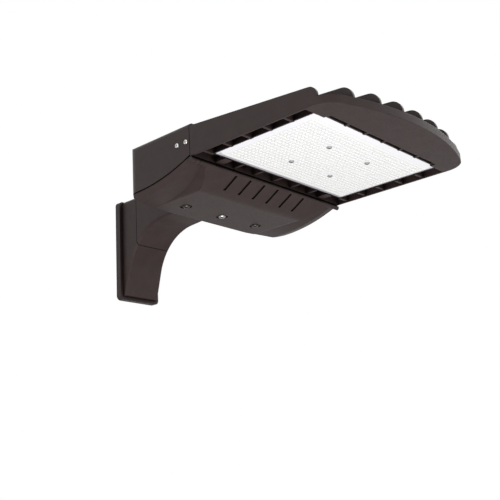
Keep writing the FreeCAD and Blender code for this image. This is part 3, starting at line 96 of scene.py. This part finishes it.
class Shade:
    """A node material on object coordinates, with short calls for common nodes."""

    def __init__(self, name, colour, roughness, metallic=0.0, specular=0.5):
        self.material = bpy.data.materials.new(name)
        self.material.use_nodes = True
        self.nodes = self.material.node_tree.nodes
        self.links = self.material.node_tree.links
        self.surface = self.nodes["Principled BSDF"]
        self.surface.inputs["Base Color"].default_value = (*colour, 1)
        self.surface.inputs["Roughness"].default_value = roughness
        self.surface.inputs["Metallic"].default_value = metallic
        self.surface.inputs["Specular IOR Level"].default_value = specular
        self.place = self.nodes.new("ShaderNodeTexCoord").outputs["Object"]

    def noise(self, scale, detail=2):
        node = self.nodes.new("ShaderNodeTexNoise")
        node.inputs["Scale"].default_value = scale
        node.inputs["Detail"].default_value = detail
        self.links.new(self.place, node.inputs["Vector"])
        return node.outputs["Fac"]

    def ramp(self, value, stops):
        node = self.nodes.new("ShaderNodeValToRGB")
        ramp = node.color_ramp
        while len(ramp.elements) < len(stops):
            ramp.elements.new(0.5)
        for element, (place, colour) in zip(ramp.elements, stops):
            element.position = place
            element.color = (*colour, 1)
        self.links.new(value, node.inputs["Fac"])
        return node.outputs["Color"]

    def remap(self, value, low, high, new_low=0.0, new_high=1.0):
        node = self.nodes.new("ShaderNodeMapRange")
        limits = {"From Min": low, "From Max": high, "To Min": new_low, "To Max": new_high}
        for key, number in limits.items():
            node.inputs[key].default_value = number
        self.links.new(value, node.inputs["Value"])
        return node.outputs["Result"]

    def math(self, operation, first, second=0.0):
        node = self.nodes.new("ShaderNodeMath")
        node.operation = operation
        for socket, value in zip(node.inputs, (first, second)):
            if isinstance(value, (int, float)):
                socket.default_value = value
            else:
                self.links.new(value, socket)
        return node.outputs["Value"]

    def mix(self, share, first, second, blend="MIX"):
        node = self.nodes.new("ShaderNodeMix")
        node.data_type = "RGBA"
        node.blend_type = blend
        colour_sockets = [s for s in node.inputs if s.type == "RGBA"]
        sockets = (node.inputs["Factor"], colour_sockets[0], colour_sockets[1])
        for socket, value in zip(sockets, (share, first, second)):
            if isinstance(value, (int, float)):
                socket.default_value = value
            elif isinstance(value, tuple):
                socket.default_value = (*value, 1)
            else:
                self.links.new(value, socket)
        return [s for s in node.outputs if s.type == "RGBA"][0]

    def plan(self):
        """Place along X and along Y."""
        node = self.nodes.new("ShaderNodeSeparateXYZ")
        self.links.new(self.place, node.inputs[0])
        return node.outputs["X"], node.outputs["Y"]

    def wave(self, value, period):
        """Cosine of the given period, from -1 to 1."""
        return self.math("COSINE", self.math("MULTIPLY", value, 2 * math.pi / period))

    def occlusion_shade(self, reach):
        """Ambient occlusion for painted shade: 1 on open surfaces, less in corners, slots and grooves."""
        node = self.nodes.new("ShaderNodeAmbientOcclusion")
        node.samples = OCCLUSION_SHADE_SAMPLES
        node.inputs["Distance"].default_value = reach
        return node.outputs["AO"]

    def soften(self, radius):
        """Rounded look along every edge, as paint and casting give it."""
        node = self.nodes.new("ShaderNodeBevel")
        node.samples = EDGE_SAMPLES
        node.inputs["Radius"].default_value = radius
        return node.outputs["Normal"]

    def bump(self, height, depth, normal):
        node = self.nodes.new("ShaderNodeBump")
        node.inputs["Strength"].default_value = BUMP_STRENGTH
        node.inputs["Distance"].default_value = depth
        self.links.new(height, node.inputs["Height"])
        self.links.new(normal, node.inputs["Normal"])
        return node.outputs["Normal"]

    def set(self, socket, value):
        self.links.new(value, self.surface.inputs[socket])


# ---------------------------------------------------------------- finishes
# A name that ends in _SPAN holds the lowest and highest value that a remap reads.
NOISE_SPAN = (0.3, 0.7)
PAINT_COLOUR = (0.042, 0.027, 0.026)
PAINT_ROUGHNESS = 0.42
PAINT_SHEEN = 0.22
MOTTLE_SCALE = 55
MOTTLE_TONES = [(0.25, (0.036, 0.0235, 0.0225)), (0.75, (0.044, 0.030, 0.029))]
FLECK_SCALE = 1400
FLECK_TONES = [(0.35, (0.88, 0.88, 0.88)), (0.7, (1.1, 1.08, 1.08))]
# Painted shade: near-black colour and little sheen where ambient occlusion finds slots, grooves and
# corners.
PAINT_SHADE_IN_SLOTS = (0.003, 0.002, 0.002)
SHEEN_IN_SLOT_SHADE = 0.02
CORNER_SHADE_REACH = 0.012
CORNER_SHADE_SPAN = (0.25, 0.95)
SLOT_SHADE_REACH = 0.035
SLOT_SHADE_SPAN = (0.35, 0.75)
PEEL_SCALE = 620
PEEL_DEPTH = 0.00012
PEEL_ROUGHNESS = (0.36, 0.5)
PAINT_EDGE_RADIUS = 0.0011


def bronze_paint():
    """Dark bronze powder coat: orange peel, faint mottling, soft edges; painted shade, near black, in
    slots and corners.
    """
    shade = Shade("dark_bronze_paint", PAINT_COLOUR, PAINT_ROUGHNESS, specular=PAINT_SHEEN)
    mottle = shade.ramp(shade.noise(MOTTLE_SCALE, detail=3), MOTTLE_TONES)
    flecks = shade.ramp(shade.noise(FLECK_SCALE), FLECK_TONES)
    colour = shade.mix(1.0, mottle, flecks, "MULTIPLY")
    # Painted shade: ambient occlusion darkens corners and slots to near black and takes their sheen away.
    corner = shade.remap(shade.occlusion_shade(CORNER_SHADE_REACH), *CORNER_SHADE_SPAN)
    slot = shade.remap(shade.occlusion_shade(SLOT_SHADE_REACH), *SLOT_SHADE_SPAN)
    unshaded_share = shade.math("MULTIPLY", corner, slot)
    shade.set("Base Color", shade.mix(unshaded_share, PAINT_SHADE_IN_SLOTS, colour))
    shade.set("Specular IOR Level", shade.remap(unshaded_share, 0, 1, SHEEN_IN_SLOT_SHADE, PAINT_SHEEN))
    peel = shade.noise(PEEL_SCALE, detail=3)
    shade.set("Roughness", shade.remap(peel, *NOISE_SPAN, *PEEL_ROUGHNESS))
    shade.set("Normal", shade.bump(peel, PEEL_DEPTH, shade.soften(PAINT_EDGE_RADIUS)))
    return shade.material


LENS_COLOUR = (0.9, 0.9, 0.88)
LENS_ROUGHNESS = 0.3
OPTIC_PITCH = 0.0067
OPTIC_TONES = [
    (0.0, (0.80, 0.79, 0.83)),
    (0.45, (0.93, 0.93, 0.92)),
    (0.8, (0.96, 0.955, 0.93)),
    (1.0, (0.95, 0.92, 0.82)),
]
PATCH_SCALE = 140
PATCH_TONES = [(0.3, (0.97, 0.97, 0.985)), (0.7, (1.0, 1.0, 0.99))]
BORDER_WIDTH = 0.0085
BORDER_BLUR = 0.0004
BORDER_PALE = (0.84, 0.83, 0.86)
# At the rear and left the border's cool tone is partly its own lavender and partly painted shade of a
# bevel turned from the light; the tick lines are painted shade of small ridges.
BORDER_COOL_AND_SHADED = (0.62, 0.605, 0.66)
TICK_RIDGE_SHADE = (0.45, 0.435, 0.48)
TICK_PITCH = 0.0105
TICK_SPAN = (0.86, 0.99)
LENS_GRAIN_SCALE = 900
LENS_GRAIN_ROUGHNESS = (0.24, 0.38)
LENS_EDGE_RADIUS = 0.0006


def lens_plastic():
    """White optical plastic: optics with a warm core, and a border cooler at the rear and left, its
    darker tone there partly painted shade.
    """
    low, high = (Vector(corner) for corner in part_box("lens_panel"))
    middle = (low + high) / 2
    shade = Shade("lens_white", LENS_COLOUR, LENS_ROUGHNESS)
    x, y = shade.plan()
    off_x = shade.math("ABSOLUTE", shade.math("SUBTRACT", x, middle.x))
    off_y = shade.math("ABSOLUTE", shade.math("SUBTRACT", y, middle.y))
    past_x = shade.math("SUBTRACT", off_x, (high.x - low.x) / 2 - BORDER_WIDTH)
    past_y = shade.math("SUBTRACT", off_y, (high.y - low.y) / 2 - BORDER_WIDTH)
    border = shade.remap(shade.math("MAXIMUM", past_x, past_y), -BORDER_BLUR, BORDER_BLUR)
    across = shade.wave(shade.math("SUBTRACT", x, middle.x), OPTIC_PITCH)
    along = shade.wave(shade.math("SUBTRACT", y, middle.y), OPTIC_PITCH)
    optic = shade.ramp(shade.remap(shade.math("ADD", across, along), -2, 2), OPTIC_TONES)
    patch = shade.ramp(shade.noise(PATCH_SCALE), PATCH_TONES)
    field = shade.mix(1.0, optic, patch, "MULTIPLY")
    # Painted shade: tick lines for small ridges, and a darker, cooler border at the rear and left.
    ridge_shade = shade.remap(shade.wave(y, TICK_PITCH), *TICK_SPAN)
    cool_and_shaded = shade.mix(ridge_shade, BORDER_COOL_AND_SHADED, TICK_RIDGE_SHADE)
    rear_line = low.x + BORDER_WIDTH
    left_line = high.y - BORDER_WIDTH
    rear = shade.remap(x, rear_line, rear_line + BORDER_BLUR, 1, 0)
    left = shade.remap(y, left_line, left_line + BORDER_BLUR)
    rim = shade.mix(shade.math("MAXIMUM", rear, left), BORDER_PALE, cool_and_shaded)
    shade.set("Base Color", shade.mix(border, field, rim))
    grain = shade.noise(LENS_GRAIN_SCALE)
    shade.set("Roughness", shade.remap(grain, *NOISE_SPAN, *LENS_GRAIN_ROUGHNESS))
    shade.set("Normal", shade.soften(LENS_EDGE_RADIUS))
    return shade.material


GRAIN_SCALE = 900
GRAIN_DEPTH = 0.00005
CLOUD_COARSER = 12
CLOUD_SPREAD = 0.12
ROUGHNESS_SPREAD = 0.15
# Painted shade in small parts' corners: its reach, its span, and its darkest share of the colour.
SMALL_SHADE_REACH = 0.004
SMALL_SHADE_SPAN = (0.2, 0.9)
SHADED_SHARE = 0.35
SMALL_EDGE_RADIUS = 0.0003


def plain(name, colour, roughness, metallic=0.0, grain=GRAIN_SCALE, depth=GRAIN_DEPTH):
    """Small part finish: a base colour with fine variation, painted shade in corners and a fine grain."""
    shade = Shade(name, colour, roughness, metallic)
    fine = shade.noise(grain)
    dark = tuple(c * (1 - CLOUD_SPREAD) for c in colour)
    light = tuple(min(1.0, c * (1 + CLOUD_SPREAD)) for c in colour)
    shaded = tuple(c * SHADED_SHARE for c in colour)
    cloud = shade.ramp(shade.noise(grain / CLOUD_COARSER, detail=3), list(zip(NOISE_SPAN, (dark, light))))
    # Painted shade: ambient occlusion darkens corners to 35% of the colour.
    corner = shade.remap(shade.occlusion_shade(SMALL_SHADE_REACH), *SMALL_SHADE_SPAN)
    smoother = roughness * (1 - ROUGHNESS_SPREAD)
    rougher = min(1.0, roughness * (1 + ROUGHNESS_SPREAD))
    shade.set("Base Color", shade.mix(corner, shaded, cloud))
    shade.set("Roughness", shade.remap(fine, *NOISE_SPAN, smoother, rougher))
    shade.set("Normal", shade.bump(fine, depth, shade.soften(SMALL_EDGE_RADIUS)))
    return shade.material


FINISHES = {
    "dark_bronze_paint": bronze_paint(),
    "dark_screw": plain("dark_screw", (0.10, 0.085, 0.08), 0.3, 0.8),
    "steel_screw": plain("steel_screw", (0.62, 0.61, 0.59), 0.25, 1.0),
    "lens_screw": plain("lens_screw", (0.42, 0.41, 0.42), 0.4, 0.5),
    "rubber_seal": plain("rubber_seal", (0.02, 0.02, 0.02), 0.85, grain=1600, depth=0.0001),
    "silicone_seal": plain("silicone_seal", (0.55, 0.55, 0.55), 0.6),
    "driver_case": plain("driver_case", (0.55, 0.55, 0.56), 0.4, 0.3),
    "surge_case": plain("surge_case", (0.05, 0.05, 0.055), 0.5),
    "terminal_plastic": plain("terminal_plastic", (0.7, 0.68, 0.62), 0.45),
    "ground_green": plain("ground_green", (0.03, 0.24, 0.07), 0.35, 0.7),
    "cable_jacket": plain("cable_jacket", (0.03, 0.03, 0.03), 0.5),
    "lead_sleeve": plain("lead_sleeve", (0.05, 0.05, 0.055), 0.7, grain=2500, depth=0.0003),
    "board_mask": plain("board_mask", (0.8, 0.81, 0.8), 0.35),
    "led_phosphor": plain("led_phosphor", (0.8, 0.62, 0.12), 0.4),
    "lens_white": lens_plastic(),
    "retainer_nylon": plain("retainer_nylon", (0.75, 0.74, 0.68), 0.5),
}


def finish_nodes():
    """Each CAD node gets the finish of its material slot."""
    for entry in frame["record"]["subparts"]:
        mesh = NODES[entry["node"]].data
        mesh.materials.clear()
        mesh.materials.append(FINISHES[entry["material_slot"]])


# ---------------------------------------------------------------- mesh helpers
SMOOTH_ANGLE = math.radians(35)
MERGE_DISTANCE = 1e-6


def add_piece(name, work, slot, body):
    """Object made of the mesh in work, with its finish and the body that it rides on."""
    mesh = bpy.data.meshes.new(name)
    bmesh.ops.recalc_face_normals(work, faces=work.faces)
    work.to_mesh(mesh)
    work.free()
    for face in mesh.polygons:
        face.use_smooth = True
    mesh.set_sharp_from_angle(angle=SMOOTH_ANGLE)
    mesh.materials.append(FINISHES[slot])
    piece = bpy.data.objects.new(name, mesh)
    bpy.context.scene.collection.objects.link(piece)
    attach(piece, body)
    return piece


def solids_of(node):
    """Lowest and highest corner of each separate solid in a node."""
    work = bmesh.new()
    work.from_mesh(NODES[node].data)
    bmesh.ops.remove_doubles(work, verts=work.verts, dist=MERGE_DISTANCE)
    left = set(work.verts)
    boxes = []
    while left:
        group = {left.pop()}
        front = list(group)
        while front:
            for edge in front.pop().link_edges:
                for vertex in edge.verts:
                    if vertex in left:
                        left.remove(vertex)
                        group.add(vertex)
                        front.append(vertex)
        low = Vector(min(v.co[i] for v in group) for i in range(3))
        high = Vector(max(v.co[i] for v in group) for i in range(3))
        boxes.append((low, high))
    work.free()
    return sorted(boxes, key=lambda pair: tuple(round(c, 4) for c in pair[0]))


def circle(radius, along, steps, lobe=0.0, lobes=0):
    """Points once round the Z axis, with a number of waves in the radius where lobe isn't 0."""
    points = []
    for step in range(steps):
        angle = 2 * math.pi * step / steps
        reach = radius + lobe * math.cos(lobes * angle)
        points.append(Vector((reach * math.cos(angle), reach * math.sin(angle), along)))
    return points


def loft(work, sections, place, turn):
    """Bands of faces from each section to the next; gives the vertices of each section."""
    rings = [[work.verts.new(place + turn @ point) for point in section] for section in sections]
    for one, two in zip(rings, rings[1:]):
        for step in range(len(one)):
            after = (step + 1) % len(one)
            work.faces.new((one[step], one[after], two[after], two[step]))
    return rings


# ---------------------------------------------------------------- screws
ScrewSize = namedtuple("ScrewSize", "head_radius head_height shank_radius")
DOOR_SCREW = ScrewSize(0.0056, 0.003, 0.003)
LENS_SCREW = ScrewSize(0.0039, 0.0018, 0.002)
SIDE_SCREW = ScrewSize(0.0034, 0.0014, 0.002)
ARM_SCREW = ScrewSize(0.0045, 0.0024, 0.0025)
TURN_STEPS = 36
THREAD_PITCH = 0.0009
THREAD_ROOT = 0.86
THREAD_CREST = 0.99
RECESS_LOBES = 6
RECESS_RADIUS = 0.42
RECESS_FLOOR = 0.9
RECESS_LOBE = 0.06
RECESS_DEPTH = 0.62
HEAD_ROUNDING = ((0.62, 1.0), (0.82, 0.9), (0.95, 0.62), (1.0, 0.3), (1.0, 0.0))


def screw_sections(size, length):
    """Sections of a screw from its recess's floor to its tip; Z is 0 at the seat.

    The recess's sizes and HEAD_ROUNDING are shares of the head's radius and height.
    """
    recess = size.head_radius * RECESS_RADIUS
    lobe = size.head_radius * RECESS_LOBE
    floor = size.head_height * (RECESS_DEPTH - 1)
    sections = [
        circle(recess * RECESS_FLOOR, floor, TURN_STEPS, lobe, RECESS_LOBES),
        circle(recess, -size.head_height, TURN_STEPS, lobe, RECESS_LOBES),
    ]
    for radius_share, height_share in HEAD_ROUNDING:
        radius = size.head_radius * radius_share
        sections.append(circle(radius, -size.head_height * height_share, TURN_STEPS))
    sections.append(circle(size.shank_radius, 0, TURN_STEPS))
    turns = max(1, int(length / THREAD_PITCH) - 1)
    pitch = length / turns
    for turn in range(turns):
        root = (turn + 0.5) * pitch
        sections.append(circle(size.shank_radius * THREAD_ROOT, root, TURN_STEPS))
        sections.append(circle(size.shank_radius * THREAD_CREST, root + pitch / 2, TURN_STEPS))
    return sections


def add_screw(work, box, way, size):
    """Screw in the place of a solid, its head at the end of the box that the way starts from."""
    low, high = box
    axis = max(range(3), key=lambda i: abs(way[i]))
    start = low[axis] if way[axis] > 0 else high[axis]
    seat = (low + high) / 2
    seat[axis] = start + way[axis] * size.head_height
    length = (high - low)[axis] - size.head_height
    turn = way.to_track_quat("Z", "Y").to_matrix()
    rings = loft(work, screw_sections(size, length), seat, turn)
    work.faces.new(rings[0])
    work.faces.new(rings[-1])


def upward(box):
    return Vector((0, 0, 1))


def downward(box):
    return Vector((0, 0, -1))


def inward(box):
    return Vector((0, -1 if box[0].y > 0 else 1, 0))


def screw_group(name, node, boxes, way_of, slot, body, size):
    """One piece of detailed screws, in the places and lengths of the node's own."""
    work = bmesh.new()
    for box in boxes:
        add_screw(work, box, way_of(box), size)
    piece = add_piece(name, work, slot, body)
    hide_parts(node)


def make_screws():
    """The screws that show; the door's middle one is bright and its outer two are dark."""
    door = solids_of("door_screws")
    middle = [box for box in door if box[0].y < 0 < box[1].y]
    outer = [box for box in door if box not in middle]
    screw_group("door_screw_bright", "door_screws", middle, upward, "steel_screw", "door", DOOR_SCREW)
    screw_group("door_screws_dark", "door_screws", outer, upward, "dark_screw", "door", DOOR_SCREW)
    kinds = (
        ("lens_screw_heads", "lens_screws", upward, "lens_screw", LENS_SCREW),
        ("side_screw_heads", "side_screws", inward, "steel_screw", SIDE_SCREW),
        ("arm_screw_heads", "arm_screws", downward, "dark_screw", ARM_SCREW),
    )
    for name, node, way_of, slot, size in kinds:
        screw_group(name, node, solids_of(node), way_of, slot, "root", size)


# ---------------------------------------------------------------- lens optics
OPTIC_RADIUS = 0.0029
OPTIC_HEIGHT = 0.0006
OPTIC_SIDES = 10
OPTIC_RINGS = ((1.0, 0.0), (0.8, 0.42), (0.45, 0.82))
OPTIC_MARGIN = 0.0125
SCREW_FREE_RADIUS = 0.0075


def add_dome(work, centre):
    """Closed shallow dome that hangs from its centre; OPTIC_RINGS are shares of its size."""
    sections = []
    for reach, drop in OPTIC_RINGS:
        sections.append(circle(OPTIC_RADIUS * reach, -OPTIC_HEIGHT * drop, OPTIC_SIDES))
    rings = loft(work, sections, centre, Matrix.Identity(3))
    top = work.verts.new(centre - Vector((0, 0, OPTIC_HEIGHT)))
    last = rings[-1]
    for step in range(OPTIC_SIDES):
        work.faces.new((last[step], top, last[(step + 1) % OPTIC_SIDES]))
    work.faces.new(rings[0])


def make_optics():
    """Rows of shallow domes moulded on the lens's flat field, with room round its screws."""
    low, high = (Vector(corner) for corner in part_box("lens_panel"))
    middle = (low + high) / 2
    screws = [(box[0] + box[1]) / 2 for box in solids_of("lens_screws")]
    half_rows = int(((high.x - low.x) / 2 - OPTIC_MARGIN) / OPTIC_PITCH)
    half_columns = int(((high.y - low.y) / 2 - OPTIC_MARGIN) / OPTIC_PITCH)
    rows = range(-half_rows, half_rows + 1)
    columns = range(-half_columns, half_columns + 1)
    work = bmesh.new()
    for row, column in product(rows, columns):
        centre = Vector((middle.x + row * OPTIC_PITCH, middle.y + column * OPTIC_PITCH, low.z))
        if all((s - centre).xy.length >= SCREW_FREE_RADIUS for s in screws):
            add_dome(work, centre)
    add_piece("lens_optics", work, "lens_white", "root")


# ---------------------------------------------------------------- surroundings
STUDIO_MIDDLE = Vector((0.3, 0, 0))
WORLD_STRENGTH = 0.3
FLOOR_Z = -1.7
FLOOR_SIZE = 12
FLOOR_SHADE = 0.85
FLOOR_ROUGHNESS = 0.8
LIGHTS = (
    # name, place, side of the square, watts
    ("low_front", (1.2, -0.6, -1.3), 1.2, 29),
    ("high_side", (0.2, -1.6, 1.0), 1.4, 4),
    ("far_top", (0.6, 1.4, 1.4), 1.4, 14),
)


def make_world():
    """Soft light all round, seen as pure white by camera, glossy and transmission rays."""
    world = bpy.data.worlds.new("studio")
    world.use_nodes = True
    bpy.context.scene.world = world
    nodes, links = world.node_tree.nodes, world.node_tree.links
    dim = nodes["Background"]
    white = nodes.new("ShaderNodeBackground")
    for background, strength in ((dim, WORLD_STRENGTH), (white, 1.0)):
        background.inputs["Color"].default_value = (1, 1, 1, 1)
        background.inputs["Strength"].default_value = strength
    path = nodes.new("ShaderNodeLightPath")
    seen = path.outputs["Is Camera Ray"]
    for kind in ("Is Transmission Ray", "Is Glossy Ray"):
        either = nodes.new("ShaderNodeMath")
        either.operation = "MAXIMUM"
        links.new(seen, either.inputs[0])
        links.new(path.outputs[kind], either.inputs[1])
        seen = either.outputs[0]
    mix = nodes.new("ShaderNodeMixShader")
    links.new(seen, mix.inputs[0])
    links.new(dim.outputs[0], mix.inputs[1])
    links.new(white.outputs[0], mix.inputs[2])
    links.new(mix.outputs[0], nodes["World Output"].inputs["Surface"])


def make_floor():
    bpy.ops.mesh.primitive_plane_add(size=FLOOR_SIZE, location=(STUDIO_MIDDLE.x, 0, FLOOR_Z))
    floor = bpy.context.object
    floor.name = "floor"
    material = bpy.data.materials.new("floor")
    material.use_nodes = True
    surface = material.node_tree.nodes["Principled BSDF"]
    surface.inputs["Base Color"].default_value = (FLOOR_SHADE, FLOOR_SHADE, FLOOR_SHADE, 1)
    surface.inputs["Roughness"].default_value = FLOOR_ROUGHNESS
    floor.data.materials.append(material)


def make_lights():
    for name, place, side, watts in LIGHTS:
        data = bpy.data.lights.new(name, "AREA")
        data.shape = "SQUARE"
        data.size = side
        data.energy = watts
        light = bpy.data.objects.new(name, data)
        light.location = place
        light.rotation_euler = (STUDIO_MIDDLE - Vector(place)).to_track_quat("-Z", "Y").to_euler()
        bpy.context.scene.collection.objects.link(light)


aim_camera()
make_world()
make_floor()
make_lights()
finish_nodes()
make_screws()
make_optics()

bpy.context.scene.view_settings.view_transform = "Standard"
